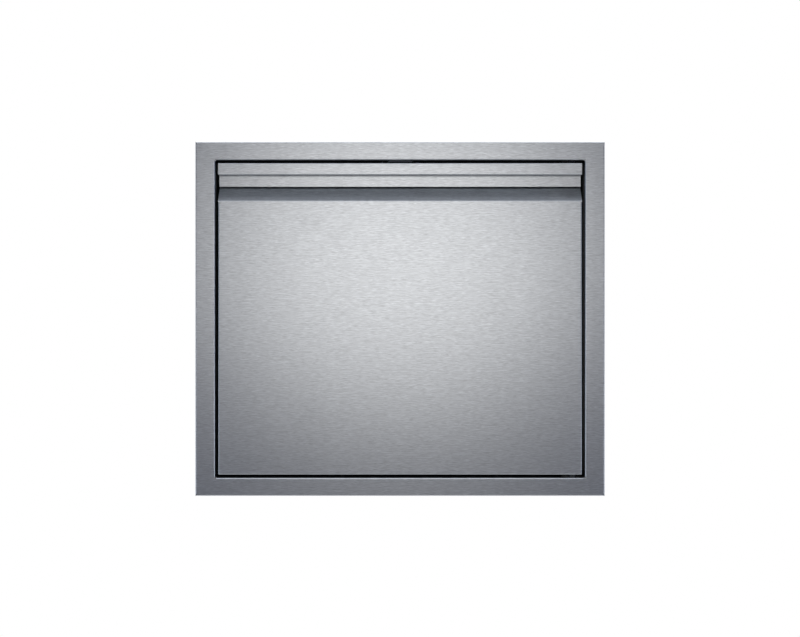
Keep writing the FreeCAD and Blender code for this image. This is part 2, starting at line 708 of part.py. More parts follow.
def housing_screw_places():
    return [PIVOT_X - HOUSING_SCREW_OFFSET, PIVOT_X + HOUSING_SCREW_OFFSET]


def door_skin():
    """Face of the door folded round its sides and bottom, and into the ramp of the pull at its top."""
    height = (DOOR_BOTTOM, PAN_TOP)
    pan = block((-DOOR_HALF_WIDTH, DOOR_HALF_WIDTH), (0, PAN_DEPTH), height)
    pan = pan.makeFillet(FACE_EDGE, pan_bends(pan))
    inner = DOOR_HALF_WIDTH - SHEET
    hollow = block((-inner, inner), (SHEET, PAN_DEPTH - SHEET), (DOOR_BOTTOM + SHEET, PAN_TOP + SHEET))
    hollow = hollow.makeFillet(FACE_BEND, pan_bends(hollow))
    rim = DOOR_HALF_WIDTH - SKIN_REAR_FLANGE
    window = block((-rim, rim), (PAN_DEPTH / 2, 2 * PAN_DEPTH), (DOOR_BOTTOM + SKIN_REAR_FLANGE, FACE_TOP))
    pan = pan.cut(hollow).cut(window)
    points = [(0, PAN_TOP), (0, FACE_TOP), (TAB_DEPTH, RAMP_TOP), (TAB_DEPTH, RAMP_TOP + SKIN_TAB)]
    ramp = wide_sheet(points, [FACE_BEND, INNER_BEND], SHEET, DOOR_HALF_WIDTH)
    skin = joined([pan, ramp])
    for x_side in (-1, 1):
        x = (x_side * (DOOR_HALF_WIDTH - BEND_RELIEF_WIDTH), x_side * 2 * DOOR_HALF_WIDTH)
        skin = skin.cut(block(x, (-SHEET, 2 * OUTER_BEND), (PAN_TOP - BEND_RELIEF_HEIGHT, PAN_TOP)))
    skin = skin.cut(knob_slot()).cut(liner_screw_holes())
    skin = skin.cut(pivot_rod(PIN_RADIUS + HOLE_CLEARANCE, DOOR_BOTTOM - SHEET, UP, 3 * SHEET))
    for x in housing_screw_places():
        skin = skin.cut(small_hole(x, PIVOT_DEPTH, DOOR_BOTTOM - SHEET, 3 * SHEET))
    return skin


def pan_bends(pan):
    """Folds of a pan along its sides and its bottom, at its front and its rear."""
    box = pan.BoundBox

    def on_bend(p):
        at_face = same(p.y, box.YMin) or same(p.y, box.YMax)
        at_side = same(p.x, box.XMin) or same(p.x, box.XMax)
        return at_face and (at_side or same(p.z, box.ZMin))

    def folded(edge):
        first, last = (vertex.Point for vertex in edge.Vertexes)
        at_top = same(first.z, box.ZMax) and same(last.z, box.ZMax)
        return same(first.y, last.y) and not at_top

    return [edge for edge in edges_at(pan, on_bend) if folded(edge)]


def pull_rail():
    """Hemmed lip, top and back wall of the finger pull, one folded strip."""
    hem = 2 * SHEET + HEM_GAP
    hem_bend = HEM_GAP / 2
    points = [(hem, LIP_BOTTOM + HEM_LENGTH), (hem, LIP_BOTTOM), (0, LIP_BOTTOM), (0, DOOR_HALF_HEIGHT),
              (WALL_BACK, DOOR_HALF_HEIGHT), (WALL_BACK, WALL_BOTTOM)]
    bends = [hem_bend, hem_bend, FACE_BEND, FACE_BEND]
    rail = wide_sheet(points, bends, SHEET, DOOR_HALF_WIDTH)
    under_top = DOOR_HALF_HEIGHT - 2 * SHEET
    rail = rail.cut(pivot_rod(PIN_RADIUS + HOLE_CLEARANCE, under_top, UP, 3 * SHEET))
    for x in pin_block_screw_places():
        rail = rail.cut(small_hole(x, PIVOT_DEPTH, under_top, 3 * SHEET))
    for x in strike_screw_places():
        rail = rail.cut(small_hole(x, strike_depth(), under_top, 3 * SHEET))
    return rail


def ramp_back(depth, clearance):
    """Height of the ramp's rear side at a depth, less a clearance."""
    thickness = (SHEET + clearance) * math.hypot(1, RAMP_SLOPE)
    return FACE_TOP + RAMP_SLOPE * depth - thickness


def liner_ends(x_side):
    """Ears that close the end of the hollow, below the ramp and behind the back wall."""
    outer = x_side * LINER_HALF_WIDTH
    start = outer if x_side < 0 else outer - SHEET
    middle = DOOR_THICKNESS - SHEET / 2
    floor = PAN_TOP + END_CLEARANCE
    back = PAN_DEPTH - SHEET - END_CLEARANCE
    front = SHEET + END_CLEARANCE
    foot = max(front, (floor - ramp_back(0, END_CLEARANCE)) / RAMP_SLOPE)
    crown = ramp_back(back, END_CLEARANCE)
    heel = ramp_back(foot, END_CLEARANCE)
    below = prism([(foot, heel), (foot, floor), (middle, floor), (middle, crown), (back, crown)],
                  start, SHEET)
    near = WALL_BACK + SHEET / 2
    wall = WALL_BACK + END_CLEARANCE
    lid = DOOR_HALF_HEIGHT - SHEET / 2
    ramp_front = FACE_TOP + RAMP_SLOPE * back + END_CLEARANCE * math.hypot(1, RAMP_SLOPE)
    above = prism([(near, lid - LINER_FRONT_FLANGE / 2), (wall, lid - LINER_FRONT_FLANGE),
                   (wall, ramp_front), (back, ramp_front), (back, lid), (near, lid)], start, SHEET)
    return [below, above]


def panel_press(shift):
    """Volume pressed out of the liner, from its rear side forward."""
    outlines = []
    for depth, inset in ((DOOR_THICKNESS, 0), (DOOR_THICKNESS - PANEL_PRESS, PANEL_SLOPE)):
        half_width = DOOR_HALF_WIDTH - PANEL_INSET - inset
        low = DOOR_BOTTOM + PANEL_INSET + inset
        high = PAN_TOP - PANEL_TOP_MARGIN - inset
        y = at_depth(depth - shift)
        corners = [Vector(-half_width, y, low), Vector(half_width, y, low),
                   Vector(half_width, y, high), Vector(-half_width, y, high)]
        outlines.append(Part.makePolygon(corners + corners[:1]))
    return Part.makeLoft(outlines, True, True)


def door_liner():
    """Rear sheet of the door with a pressed panel, folded over the top onto the pull rail."""
    bottom = DOOR_BOTTOM + LINER_SETBACK
    points = [(WALL_BACK, DOOR_HALF_HEIGHT - LINER_FRONT_FLANGE), (WALL_BACK, DOOR_HALF_HEIGHT),
              (DOOR_THICKNESS, DOOR_HALF_HEIGHT), (DOOR_THICKNESS, bottom)]
    sheet = wide_sheet(points, [INNER_BEND] * 2, SHEET, LINER_HALF_WIDTH)
    pieces = [sheet, panel_press(SHEET)]
    for x_side in (-1, 1):
        pieces += liner_ends(x_side)
    liner = joined(pieces).cut(panel_press(0))
    return liner.cut(knob_slot()).cut(liner_screw_holes())


def liner_screws():
    screws = []
    for x, z in liner_screw_places():
        point = Vector(x, at_depth(DOOR_THICKNESS), z)
        length = 2 * SHEET + SCREW_TIP
        screws.append(fastener(point, BACK * -1, SCREW_RADIUS, length, SCREW_HEAD_RADIUS, SCREW_HEAD_HEIGHT))
    return Part.makeCompound(screws)


def hat_stiffener():
    """Hat channel bonded across the back of the face, just short of the pressed panel."""
    half = STIFFENER_WIDTH / 2
    crown = DOOR_THICKNESS - PANEL_PRESS - SHEET - END_CLEARANCE - STIFFENER_SHEET
    reach = half + STIFFENER_FLANGE
    points = [(SHEET, -reach), (SHEET, -half), (crown, -half), (crown, half), (SHEET, half), (SHEET, reach)]
    half_length = DOOR_HALF_WIDTH - PANEL_INSET - PANEL_SLOPE - STIFFENER_END_GAP
    return wide_sheet(points, [INNER_BEND] * 4, STIFFENER_SHEET, half_length)


def pin_block_screw_places():
    return [PIVOT_X - offset for offset in PIN_BLOCK_SCREWS]


def pin_block():
    """Bar under the top of the pull rail that holds the upper pin."""
    x = (PIVOT_X - PIN_BLOCK_TAIL, PIVOT_X + PIN_BLOCK_REACH)
    margin = SHEET + INNER_BEND + END_CLEARANCE
    bar = block(x, (margin, PULL_DEPTH - INNER_BEND - END_CLEARANCE), (PIN_BLOCK_BOTTOM, PIN_BLOCK_TOP))
    bar = bar.cut(pivot_rod(PIN_RADIUS + PRESS_CLEARANCE, PIN_BLOCK_BOTTOM, UP, PIN_BLOCK_HEIGHT))
    for x in pin_block_screw_places():
        bar = bar.cut(small_hole(x, PIVOT_DEPTH, PIN_BLOCK_BOTTOM, PIN_BLOCK_HEIGHT))
    return bar


def upper_pin():
    """Fixed pin pressed up through the block, with a foot under it."""
    pin = pivot_rod(PIN_RADIUS, PIN_BLOCK_BOTTOM, UP, PIN_REACH - PIN_BLOCK_BOTTOM)
    foot = pivot_rod(PIN_RADIUS + PIN_FOOT_RIM, PIN_BLOCK_BOTTOM, DOWN, PIN_FOOT_HEIGHT)
    return joined([pin, foot])


def pin_block_screws():
    length = SHEET + PIN_BLOCK_HEIGHT
    places = pin_block_screw_places()
    return Part.makeCompound([small_screw(x, PIVOT_DEPTH, DOOR_HALF_HEIGHT, DOWN, length) for x in places])


def strike_depth():
    return min(CATCH_CENTRE_DEPTH, PULL_DEPTH - INNER_BEND - STRIKE_DEPTH / 2)


def strike_screw_places():
    x = STRIKE_WIDTH / 2 - STRIKE_SCREW_INSET
    return [-x, x]


def strike_plate():
    """Steel strip on top of the door that the catch pulls on."""
    half_width = STRIKE_WIDTH / 2
    depth = (strike_depth() - STRIKE_DEPTH / 2, strike_depth() + STRIKE_DEPTH / 2)
    plate = block((-half_width, half_width), depth, (DOOR_HALF_HEIGHT, DOOR_HALF_HEIGHT + STRIKE_SHEET))
    plate = plate.makeFillet(STRIKE_SHEET, edges_along(plate, UP))
    for x in strike_screw_places():
        plate = plate.cut(small_hole(x, strike_depth(), DOOR_HALF_HEIGHT, STRIKE_SHEET))
    return plate


def strike_screws():
    seat = DOOR_HALF_HEIGHT + STRIKE_SHEET
    length = STRIKE_SHEET + SHEET + SCREW_TIP
    places = strike_screw_places()
    return Part.makeCompound([small_screw(x, strike_depth(), seat, DOWN, length) for x in places])


def pin_housing():
    """Block in the bottom corner of the door that guides the lower pin and holds its spring."""
    x = (PIVOT_X - HOUSING_HALF_WIDTH, PIVOT_X + HOUSING_HALF_WIDTH)
    housing = block(x, (HOUSING_FRONT, HOUSING_BACK), (HOUSING_BOTTOM, HOUSING_TOP))
    housing = housing.makeChamfer(INNER_BEND, edges_at(housing, lambda p: same(p.z, HOUSING_BOTTOM)))
    housing = housing.cut(pivot_rod(PIN_RADIUS + RUNNING_CLEARANCE, HOUSING_BOTTOM, UP, GUIDE_LENGTH))
    housing = housing.cut(pivot_rod(CHAMBER_RADIUS, CHAMBER_BOTTOM, UP, CHAMBER_LENGTH))
    housing = housing.cut(pivot_rod(STEM_RADIUS + RUNNING_CLEARANCE, CHAMBER_TOP, UP, CAP_LENGTH))
    for x in housing_screw_places():
        housing = housing.cut(small_hole(x, PIVOT_DEPTH, HOUSING_BOTTOM, GUIDE_LENGTH))
    return housing.cut(knob_slot())


def housing_screws():
    length = SHEET + GUIDE_LENGTH - SCREW_TIP
    places = housing_screw_places()
    return Part.makeCompound([small_screw(x, PIVOT_DEPTH, DOOR_BOTTOM, UP, length) for x in places])


def lower_pin():
    """Sliding pin with a shoulder under the spring and a stem through it."""
    pin = pivot_rod(PIN_RADIUS, -PIN_REACH, UP, SHOULDER_BOTTOM + PIN_REACH)
    shoulder = pivot_rod(SHOULDER_RADIUS, SHOULDER_BOTTOM, UP, SHOULDER_HEIGHT)
    stem = pivot_rod(STEM_RADIUS, SHOULDER_TOP, UP, HOUSING_TOP + STEM_TAIL - SHOULDER_TOP)
    radius = KNOB_SHANK_RADIUS + PRESS_CLEARANCE
    hole = rod(radius, PIVOT_X, shank_start(), KNOB_LEVEL, BACK, 2 * SHOULDER_RADIUS)
    return joined([pin, shoulder, stem]).cut(hole)


def shank_start():
    return PIVOT_DEPTH + SHOULDER_RADIUS - KNOB_SHANK_BITE


def pin_knob():
    """Grooved knob behind the door on a shank screwed into the pin's shoulder."""
    head_start = DOOR_THICKNESS + KNOB_GAP
    shank = rod(KNOB_SHANK_RADIUS, PIVOT_X, shank_start(), KNOB_LEVEL, BACK, head_start - shank_start())
    head = rod(KNOB_RADIUS, PIVOT_X, head_start, KNOB_LEVEL, BACK, KNOB_LENGTH)
    rims = [edge for edge in head.Edges if isinstance(edge.Curve, Part.Circle)]
    head = head.makeFillet(KNOB_ROUNDING, rims)
    for step in range(KNOB_GRIP_COUNT):
        angle = 2 * math.pi * step / KNOB_GRIP_COUNT
        x = PIVOT_X + KNOB_RADIUS * math.cos(angle)
        z = KNOB_LEVEL + KNOB_RADIUS * math.sin(angle)
        head = head.cut(rod(KNOB_GRIP_RADIUS, x, head_start, z, BACK, KNOB_LENGTH))
    return joined([shank, head])


def biarc(start, start_way, end, end_way):
    """Two tangent arcs between two points with given directions."""
    chord = end - start
    ways = start_way + end_way
    square = ways.dot(ways) - 4
    linear = -2 * chord.dot(ways)
    reach = (-linear - math.sqrt(linear ** 2 - 4 * square * chord.dot(chord))) / (2 * square)
    first_corner = start + start_way * reach
    last_corner = end - end_way * reach
    middle = (first_corner + last_corner) / 2
    arcs = []
    for head, corner, tail in ((start, first_corner, middle), (middle, last_corner, end)):
        chord_middle = (head + tail) / 2
        share = (head - chord_middle).Length / reach
        crest = chord_middle + (corner - chord_middle) * (share / (1 + share))
        arcs.append(Part.Arc(head, crest, tail).toShape())
    return arcs


def pin_spring():
    """Coil spring between the pin's shoulder and the top of the chamber."""
    radius = (STEM_RADIUS + CHAMBER_RADIUS) / 2
    low = SHOULDER_TOP + SPRING_WIRE_RADIUS + RUNNING_CLEARANCE
    high = CHAMBER_TOP - SPRING_WIRE_RADIUS - RUNNING_CLEARANCE
    climb = (high - low) / (2 * math.pi * SPRING_TURNS)

    def spot(angle):
        x = PIVOT_X + radius * math.cos(angle)
        y = at_depth(PIVOT_DEPTH) + radius * math.sin(angle)
        return Vector(x, y, low + climb * angle)

    def way(angle):
        return Vector(-radius * math.sin(angle), radius * math.cos(angle), climb).normalize()

    edges = []
    for half_turn in range(2 * SPRING_TURNS):
        first = math.pi * half_turn
        last = first + math.pi
        edges += biarc(spot(first), way(first), spot(last), way(last))
    wire_end = Part.Wire(Part.makeCircle(SPRING_WIRE_RADIUS, spot(0), way(0)))
    return Part.Wire(edges).makePipeShell([wire_end], True, False)


PARTS = {
    "face_frame": face_frame,
    "jamb_top": upper_jamb,
    "jamb_bottom": lower_jamb,
    "jamb_left": left_jamb,
    "jamb_right": side_jamb,
    "upper_pivot_plate": lambda: pivot_plate(1),
    "lower_pivot_plate": lambda: pivot_plate(-1),
    "upper_bush": lambda: bush(1, UPPER_RIM_HEIGHT),
    "lower_bush": lambda: bush(-1, DOOR_GAP - THRUST_CLEARANCE),
    "seal_top": lambda: level_seal(1, SEAL_FRONT, -JAMB_HALF_WIDTH, HINGE_SEAL_LIMIT),
    "seal_bottom": lambda: level_seal(-1, SEAL_FRONT, -JAMB_HALF_WIDTH, HINGE_SEAL_LIMIT),
    "seal_free_side": lambda: side_seal(-1, SEAL_FRONT),
    "seal_hinge_side": hinge_seal,
    "stop_bracket_upper": lambda: stop_bracket(1),
    "stop_bracket_lower": lambda: stop_bracket(-1),
    "bumper_upper": lambda: bumper(1),
    "bumper_lower": lambda: bumper(-1),
    "bracket_rivets": bracket_rivets,
    "catch_case": catch_case,
    "catch_magnet": catch_magnet,
    "catch_poles": catch_poles,
    "catch_screws": catch_screws,
    "door_skin": door_skin,
    "pull_rail": pull_rail,
    "door_liner": door_liner,
    "liner_screws": liner_screws,
    "hat_stiffener": hat_stiffener,
    "upper_pin_block": pin_block,
    "upper_pin": upper_pin,
    "pin_block_screws": pin_block_screws,
    "strike_plate": strike_plate,
    "strike_screws": strike_screws,
    "lower_pin_housing": pin_housing,
    "housing_screws": housing_screws,
    "lower_pin": lower_pin,
    "pin_knob": pin_knob,
    "pin_spring": pin_spring,
}

os.makedirs("parts", exist_ok=True)
for name, make in PARTS.items():
    shape = make()
    shape.exportStep("parts/" + name + ".step")
    print(name, shape.ShapeType, shape.isValid(), len(shape.Solids), round(shape.Volume / 1000, 2), "cm3")
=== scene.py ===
# %% [markdown]
# # A stainless access door for an outdoor kitchen
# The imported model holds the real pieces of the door:
# folded sheets, pivots, a sprung pin and a magnetic catch.
# This lesson gives each of them its finish, models the rubber pieces, the spring and the welds as by hand,
# and sets the door up in a small product studio, seen square from the front.

# %% Load the frame
import json
import math

import bmesh
import bpy
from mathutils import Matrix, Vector


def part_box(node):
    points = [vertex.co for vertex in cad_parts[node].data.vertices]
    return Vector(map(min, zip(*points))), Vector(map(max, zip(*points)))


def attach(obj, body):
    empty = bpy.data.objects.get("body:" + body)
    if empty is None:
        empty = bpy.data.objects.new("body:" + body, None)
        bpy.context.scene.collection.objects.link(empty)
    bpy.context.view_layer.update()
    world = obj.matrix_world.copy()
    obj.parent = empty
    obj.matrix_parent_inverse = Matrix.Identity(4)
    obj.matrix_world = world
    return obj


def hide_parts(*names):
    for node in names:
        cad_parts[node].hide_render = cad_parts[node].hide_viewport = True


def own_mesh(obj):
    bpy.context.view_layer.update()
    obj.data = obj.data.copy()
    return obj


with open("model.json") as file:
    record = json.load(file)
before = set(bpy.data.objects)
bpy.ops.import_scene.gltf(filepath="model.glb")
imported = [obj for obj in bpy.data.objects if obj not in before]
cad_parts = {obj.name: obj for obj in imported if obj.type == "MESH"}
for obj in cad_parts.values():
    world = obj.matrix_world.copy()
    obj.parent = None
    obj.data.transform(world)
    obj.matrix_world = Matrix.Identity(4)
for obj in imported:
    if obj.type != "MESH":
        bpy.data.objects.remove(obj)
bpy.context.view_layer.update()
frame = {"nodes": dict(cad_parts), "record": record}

MM = 0.001

# %% [markdown]
# ## Places that everything else is measured from
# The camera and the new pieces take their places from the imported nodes, so nothing is fitted by eye.
# The front of the face frame is one flat plane, and the closed door lies flush with it.

# %% Read the main planes
frame_low, frame_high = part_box("face_frame")
FRONT = frame_low.y
FRAME_CENTRE = (frame_low + frame_high) / 2
FRAME_WIDTH = frame_high.x - frame_low.x
print("front plane at", round(FRONT / MM, 2), "mm, frame width",
      round(FRAME_WIDTH / MM, 1), "mm")

# %% [markdown]
# ## Three helpers for materials
# Colours are easiest to choose as sRGB hex values, but a shader works in linear light,
# so one function converts them.
# A second function adds a node, sets its options and fills or links its inputs in a single call.
# A third one starts an empty material.

# %% Colour and node helpers
def linear(hex_colour):
    """Linear RGBA of an sRGB hex colour."""
    channels = [int(hex_colour[start:start + 2], 16) / 255 for start in (1, 3, 5)]
    return tuple(c / 12.92 if c <= 0.04045 else ((c + 0.055) / 1.055) ** 2.4
                 for c in channels) + (1.0,)


def add(tree, kind, inputs=None, **settings):
    """Adds a node with its settings. Inputs are values or other nodes' output sockets."""
    node = tree.nodes.new(kind)
    for name, value in settings.items():
        setattr(node, name, value)
    for key, value in (inputs or {}).items():
        if isinstance(value, bpy.types.NodeSocket):
            tree.links.new(value, node.inputs[key])
        else:
            node.inputs[key].default_value = value
    return node


def new_material(name):
    """A new material and its empty node tree."""
    material = bpy.data.materials.new(name)
    material.use_nodes = True
    material.node_tree.nodes.clear()
    return material, material.node_tree


# %% [markdown]
# ## Coordinates that follow the grain of a folded sheet
# The sheets were brushed flat, across the door, and folded afterwards.
# So the grain runs left to right on the face, still left to right on the top and bottom folds,
# and front to back on the side folds.
# Object coordinates and the object-space normal are enough to tell these faces apart,
# so no UV map is needed.

# %% Grain coordinates
def sheet_coordinates(tree):
    """Distances along and across the grain of a folded sheet, in metres."""
    place = add(tree, "ShaderNodeTexCoord")
    spot = add(tree, "ShaderNodeSeparateXYZ", {0: place.outputs["Object"]})
    facing = add(tree, "ShaderNodeSeparateXYZ", {0: place.outputs["Normal"]})
    on_side = add(tree, "ShaderNodeMath", {0: facing.outputs["X"]}, operation="ABSOLUTE")
    on_level = add(tree, "ShaderNodeMath", {0: facing.outputs["Z"]}, operation="ABSOLUTE")
    along = add(tree, "ShaderNodeMath", operation="MULTIPLY_ADD",
                inputs={0: spot.outputs["Y"], 1: on_side.outputs[0], 2: spot.outputs["X"]})
    across = add(tree, "ShaderNodeMath", operation="MULTIPLY_ADD",
                 inputs={0: spot.outputs["Y"], 1: on_level.outputs[0], 2: spot.outputs["Z"]})
    return along.outputs[0], across.outputs[0]


# %% [markdown]
# ## Patterns in real sizes
# A noise texture counts in its own units, so its coordinates are divided by a real length and width.
# Most of a noise lies between three and seven tenths, and that range is spread to run from 0 to 1.
# One pattern then moves the colour, the roughness and the height together,
# as a scratch does on a real surface.

# %% Patterns and the end of a material
NOISE_LOW = 0.3
NOISE_HIGH = 0.7
BUMP_STRENGTH = 0.5


def streaks(tree, along, across, length, width):
    """Noise drawn out along the grain, its streaks of a real length and width."""
    stretch = add(tree, "ShaderNodeCombineXYZ", {"X": along, "Y": across})
    scaled = add(tree, "ShaderNodeVectorMath", operation="MULTIPLY",
                 inputs={0: stretch.outputs[0], 1: (1 / length, 1 / width, 1.0)})
    return add(tree, "ShaderNodeTexNoise", noise_dimensions="2D",
               inputs={"Vector": scaled.outputs[0], "Scale": 1.0, "Detail": 2.0}).outputs["Fac"]


def speckle(tree, size, detail):
    """Even grain of a real size."""
    place = add(tree, "ShaderNodeTexCoord")
    return add(tree, "ShaderNodeTexNoise", {"Vector": place.outputs["Object"], "Scale": 1 / size,
                                            "Detail": detail}).outputs["Fac"]


def surface(tree, pattern, colours, roughness, relief, shader):
    """Ends a material: one pattern moves its colour, roughness and height together."""
    share = add(tree, "ShaderNodeMapRange", {"Value": pattern, "From Min": NOISE_LOW,
                                             "From Max": NOISE_HIGH}).outputs[0]
    colour = add(tree, "ShaderNodeMix", data_type="RGBA",
                 inputs={"Factor": share, 6: linear(colours[0]), 7: linear(colours[1])}).outputs[2]
    rough = add(tree, "ShaderNodeMapRange", {"Value": share, "To Min": roughness[0],
                                             "To Max": roughness[1]}).outputs[0]
    normal = add(tree, "ShaderNodeBump", {"Strength": BUMP_STRENGTH, "Distance": relief,
                                          "Height": share}).outputs[0]
    body = add(tree, "ShaderNodeBsdfPrincipled",
               {"Base Color": colour, "Roughness": rough, "Normal": normal, **shader})
    add(tree, "ShaderNodeOutputMaterial", {"Surface": body.outputs[0]})


METAL = {"Metallic": 1.0}

# %% [markdown]
# ## Brushed stainless steel
# The face frame, the door's face and the pull are austenitic stainless sheet with a satin belt finish.
# The belt leaves short, slightly wavy hairlines.
# The eye reads them as a soft silky texture with a broad glow.
# Real hairlines are about a tenth of a millimetre wide.
# That is too fine to show at this distance, so they are drawn about 1 mm wide and 8 mm long,
# with a fainter, longer set over them.
# Each line starts at its own place, so the noise is also shifted along the grain, row by row.
# A brushed line that catches more light is also a little smoother, so one pattern drives both.

# %% Make the brushed stainless
SWELL_SIZE = (22 * MM, 9 * MM)
SWELL_HEIGHT = 2.2 * MM
ROW_SIZE = (70 * MM, 1.3 * MM)
ROW_SHIFT = 45 * MM
SHORT_LINE = (8 * MM, 0.8 * MM)
LONG_LINE = (45 * MM, 0.8 * MM)
LONG_SHARE = 0.3


def brushed_stainless():
    material, tree = new_material("brushed stainless steel")
    along, across = sheet_coordinates(tree)
    swell = streaks(tree, along, across, *SWELL_SIZE)
    wavy = add(tree, "ShaderNodeMath", {0: swell, 1: SWELL_HEIGHT, 2: across},
               operation="MULTIPLY_ADD").outputs[0]
    stagger = streaks(tree, along, wavy, *ROW_SIZE)
    start = add(tree, "ShaderNodeMath", {0: stagger, 1: ROW_SHIFT, 2: along},
                operation="MULTIPLY_ADD").outputs[0]
    short = streaks(tree, start, wavy, *SHORT_LINE)
    long = streaks(tree, start, wavy, *LONG_LINE)
    grain = add(tree, "ShaderNodeMix", {"Factor": LONG_SHARE, "A": short, "B": long},
                data_type="FLOAT").outputs[0]
    surface(tree, grain, ("#ACAFB3", "#DBDFE3"), (0.31, 0.29), 0.006 * MM, METAL)
    return material


finishes = {"brushed_stainless": brushed_stainless()}
print("made", finishes["brushed_stainless"].name)

# %% [markdown]
# ## Mill stainless steel
# The sleeve, the brackets and the rear of the door are never on show,
# so their sheet keeps the mill's cold-rolled skin.
# It is duller and cloudier than the brushed face, with faint long lines from the rolls.
# A slow cloud pattern and long thin streaks, mixed, give both.

# %% Make the mill stainless
ROLL_LINE = (140 * MM, 1.1 * MM)
CLOUD_SIZE = 26 * MM
CLOUD_SHARE = 0.45


def mill_stainless():
    material, tree = new_material("cold-rolled stainless steel")
    along, across = sheet_coordinates(tree)
    roll_lines = streaks(tree, along, across, *ROLL_LINE)
    clouds = speckle(tree, CLOUD_SIZE, 4.0)
    skin = add(tree, "ShaderNodeMix", {"Factor": CLOUD_SHARE, "A": roll_lines, "B": clouds},
               data_type="FLOAT").outputs[0]
    surface(tree, skin, ("#B1B3B6", "#C4C6C8"), (0.44, 0.38), 0.02 * MM, METAL)
    return material


finishes["mill_stainless"] = mill_stainless()
print("made", finishes["mill_stainless"].name)

# %% [markdown]
# ## Turned stainless steel
# The pivot pins and the knob come off a lathe, and the tool leaves fine rings round their axis.
# Rings are lines of equal distance along the axis, so a one-dimensional noise along that axis draws them.
# Real tool marks are near 0.1 mm apart; here they are 0.4 mm, so that they still show.
# The pivot pins are blackened after turning and the knob is left bright.

# %% Make the turned steels
RING_SPACING = 0.4 * MM


def turned_steel(name, axis, colours, roughness):
    material, tree = new_material(name)
    place = add(tree, "ShaderNodeTexCoord")
    spot = add(tree, "ShaderNodeSeparateXYZ", {0: place.outputs["Object"]})
    rings = add(tree, "ShaderNodeTexNoise", noise_dimensions="1D",
                inputs={"W": spot.outputs[axis], "Scale": 1 / RING_SPACING, "Detail": 2.0}).outputs["Fac"]
    surface(tree, rings, colours, roughness, 0.02 * MM, METAL)
    return material


BRIGHT_TURNED = (("#B7B9BB", "#CFD0D2"), (0.34, 0.22))
finishes["turned_stainless"] = turned_steel("turned stainless steel", "Z", *BRIGHT_TURNED)
finishes["pin_steel"] = turned_steel("black-oxide steel", "Z", ("#232427", "#313235"),
                                     (0.46, 0.34))
knob_finish = turned_steel("turned stainless steel of the knob", "Y", *BRIGHT_TURNED)
print("made", knob_finish.name)

# %% [markdown]
# ## The small metals
# Screws and rivets are bright stainless, lightly scuffed by the driver.
# The strike plate and the catch's poles are phosphated steel, nearly black, with a fine crystalline bloom.
# The spring is drawn wire, darker and even,
# and the pin's housing is an aluminium casting with a pebbled skin.

# %% Make the small metals
def even_finish(name, size, colours, roughness, relief, shader):
    material, tree = new_material(name)
    surface(tree, speckle(tree, size, 3.0), colours, roughness, relief, shader)
    return material


# Slot, name, grain size in mm, darker and lighter colour, rougher and smoother end, relief in mm
SMALL_METALS = (
    ("fastener_steel", "bright stainless steel", 1.4, ("#BFC1C3", "#D4D5D7"), (0.32, 0.18), 0.01),
    ("strike_steel", "black-phosphated steel", 0.7, ("#202124", "#2E3033"), (0.64, 0.50), 0.02),
    ("spring_steel", "drawn spring steel", 0.6, ("#76797D", "#94979B"), (0.44, 0.28), 0.01),
    ("cast_aluminium", "cast aluminium", 0.8, ("#9A9C9F", "#B4B6B8"), (0.62, 0.46), 0.12),
)
for slot, name, grain, colours, roughness, relief in SMALL_METALS:
    finishes[slot] = even_finish(name, grain * MM, colours, roughness, relief * MM, METAL)
print("made", len(finishes), "metals")

# %% [markdown]
# ## Plastics, magnet and rubber
# The bushes are black acetal, slippery and a little waxy.
# The catch's case is dark grey nylon with the fine matt grain of a spark-eroded mould,
# and its magnet is sintered ferrite.
# The seals are extruded EPDM rubber with a grey bloom, and the bumpers are moulded rubber.
# None of them is pure black: dark grey with a broken, matt gloss keeps their shape readable in the shade.

# %% Make the dark materials
BUSH_GLOSS = {"IOR": 1.48}
CASE_GLOSS = {"IOR": 1.53}
MAGNET_GLOSS = {"IOR": 1.6}
SEAL_GLOSS = {"IOR": 1.52, "Specular IOR Level": 0.3}
BUMPER_GLOSS = {"IOR": 1.52}

# The same columns as for the metals, and the gloss
DARK_MATERIALS = (
    ("bush_acetal", "black acetal", 3, ("#141517", "#1D1E21"), (0.46, 0.34), 0.01, BUSH_GLOSS),
    ("catch_nylon", "dark grey nylon", 0.5, ("#2E3034", "#3C3E42"), (0.62, 0.50), 0.05, CASE_GLOSS),
    ("ferrite", "sintered ferrite", 0.6, ("#242528", "#38393C"), (0.70, 0.52), 0.04, MAGNET_GLOSS),
    ("seal_rubber", "black EPDM rubber", 4, ("#08090A", "#111213"), (0.76, 0.60), 0.05, SEAL_GLOSS),
    ("bumper_rubber", "black moulded rubber", 0.7, ("#111213", "#1C1D1F"), (0.76, 0.60), 0.04,
     BUMPER_GLOSS),
)
for slot, name, grain, colours, roughness, relief, gloss in DARK_MATERIALS:
    finishes[slot] = even_finish(name, grain * MM, colours, roughness, relief * MM, gloss)
print("made", len(finishes), "finishes")

# %% [markdown]
# ## Give every node its finish
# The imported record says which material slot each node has, so one loop dresses them all.
# The knob lies along another axis than the pins, so it gets its own set of rings.

# %% Dress the nodes
for sub_part in frame["record"]["subparts"]:
    node = frame["nodes"][sub_part["node"]]
    node.material_slots[0].material = finishes[sub_part["material_slot"]]
frame["nodes"]["pin_knob"].material_slots[0].material = knob_finish

# %% [markdown]
# ## Modelling helpers
# Everything below is modelled as by hand: a primitive, then edit mode, then modifiers.
# An operator acts on whatever is selected, and the loaded nodes are selected,
# so each piece starts by clearing that.
# In code, faces and edges are picked by the place of their middle, where by hand one would click them.

# %% Picking, applying and handing over
SMOOTH_ANGLE = math.radians(35)


def clear_selection():
    bpy.ops.object.select_all(action="DESELECT")


